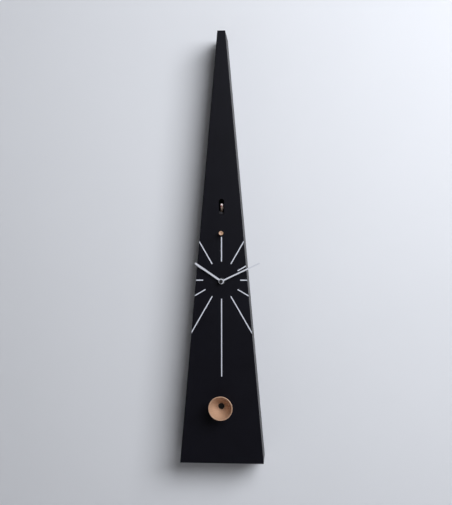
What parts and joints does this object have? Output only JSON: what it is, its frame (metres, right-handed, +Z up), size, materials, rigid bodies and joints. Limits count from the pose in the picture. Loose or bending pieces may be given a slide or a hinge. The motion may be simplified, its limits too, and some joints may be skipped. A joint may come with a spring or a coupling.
{
  "type": "pendulum wall clock",
  "caption": "Tall tapered black pendulum wall clock with white hour bars, bar hands, a bird doorway and a turned wooden bob.",
  "frame": {"origin": "middle of the hanging hole, in the plane of the wall", "axes": "+X to the right seen from the front, +Y into the wall, +Z up; the dial faces -Y"},
  "size_m": [0.155, 0.102, 0.8],
  "materials": {
    "black_satin": "smooth satin black lacquer on fibreboard",
    "bare_board": "bare sawn softwood",
    "steel": "zinc plated steel",
    "brass": "turned brass",
    "black_plastic": "fine moulded texture",
    "pale_plastic": "natural acetal",
    "white_print": "matt white print",
    "white_enamel": "satin white enamel",
    "black_metal": "black finish on metal",
    "turned_beech": "turned beech, thin satin oil",
    "bird_paint": "hand painted wood",
    "beak_paint": "satin red paint",
    "board_green": "solder mask",
    "copper_wire": "enamelled copper winding",
    "cell_sleeve": "printed sleeve",
    "paper_black": "black speaker paper"
  },
  "bodies": {
    "case": {"front_panel": "black_satin", "left_side": "black_satin", "right_side": "black_satin", "bottom_panel": "black_satin", "top_block": "bare_board", "middle_brace": "bare_board", "lower_brace": "bare_board", "glue_blocks": "bare_board", "case_screws": "steel", "hanger_plate": "steel", "hanger_screws": "steel", "hour_bars": "white_print", "movement_front_shell": "black_plastic", "movement_back_shell": "black_plastic", "shaft_bush": "black_metal", "shaft_washer": "black_metal", "shaft_nut": "black_metal", "circuit_board": "board_green", "motor_coil": "copper_wire", "motor_stator": "steel", "clock_cell": "cell_sleeve", "cell_contacts": "steel", "pivot_bush": "brass", "drive_case": "black_plastic", "drive_coil": "copper_wire", "cuckoo_case": "black_plastic", "bird_guide": "black_plastic", "bird_motor": "steel", "sound_board": "board_green", "speaker_ring": "steel", "speaker_cone": "paper_black", "battery_box": "black_plastic", "sound_cells": "cell_sleeve", "unit_screws": "steel"},
    "minute": {"minute_arbor": "brass", "minute_hand": "white_enamel", "hand_nut": "black_metal"},
    "hour": {"hour_wheel": "pale_plastic", "hour_hand": "white_enamel"},
    "motion_wheel": {"minute_wheel": "pale_plastic"},
    "setting": {"setting_knob": "pale_plastic"},
    "pendulum": {"pendulum_arbor": "steel", "pivot_cap": "turned_beech", "rod_hanger": "brass", "clamp_screw": "steel", "pendulum_rod": "steel", "drive_magnet": "steel", "bob_carrier": "brass", "bob_stem": "steel", "bob": "turned_beech", "bob_screw": "black_metal"},
    "rating": {"rating_nut": "brass"},
    "bird": {"bird_carriage": "black_plastic", "bird": "bird_paint", "beak": "beak_paint"},
    "bird_drive": {"motor_pinion": "brass"},
    "volume": {"volume_switch": "pale_plastic"}
  },
  "joints": [
    {"name": "minute_turn", "type": "hinge", "parent": "case", "child": "minute", "pos_m": [0, -0.07, -0.3535], "axis": [0, -1, 0], "continuous": true},
    {"name": "hour_turn", "type": "hinge", "parent": "case", "child": "hour", "pos_m": [0, -0.07, -0.3535], "axis": [0, -1, 0], "continuous": true},
    {"name": "motion_wheel_turn", "type": "hinge", "parent": "case", "child": "motion_wheel", "pos_m": [-0.01128, -0.06, -0.3494], "axis": [0, -1, 0], "continuous": true},
    {"name": "setting_turn", "type": "hinge", "parent": "case", "child": "setting", "pos_m": [-0.01538, -0.05, -0.33812], "axis": [0, -1, 0], "continuous": true},
    {"name": "pendulum_swing", "type": "hinge", "parent": "case", "child": "pendulum", "pos_m": [0, -0.067, -0.265], "axis": [0, -1, 0], "range_deg": [-3, 3]},
    {"name": "rating_turn", "type": "hinge", "parent": "pendulum", "child": "rating", "pos_m": [0, -0.042, -0.5935], "axis": [0, 0, 1], "continuous": true},
    {"name": "bird_slide", "type": "slide", "parent": "case", "child": "bird", "axis": [0, -1, 0], "range_m": [0, 0.018]},
    {"name": "bird_drive_turn", "type": "hinge", "parent": "case", "child": "bird_drive", "pos_m": [0, -0.038, -0.23352], "axis": [1, 0, 0], "range_deg": [-1, 260]},
    {"name": "volume_slide", "type": "slide", "parent": "case", "child": "volume", "axis": [1, 0, 0], "range_m": [-0.003, 0.003]}
  ],
  "couplings": [
    {"joint": "hour_turn", "follows": "minute_turn", "ratio": 0.083333},
    {"joint": "motion_wheel_turn", "follows": "minute_turn", "ratio": -0.33333},
    {"joint": "setting_turn", "follows": "minute_turn", "ratio": 1},
    {"joint": "bird_drive_turn", "follows": "bird_slide", "rad_per_m": 250}
  ]
}
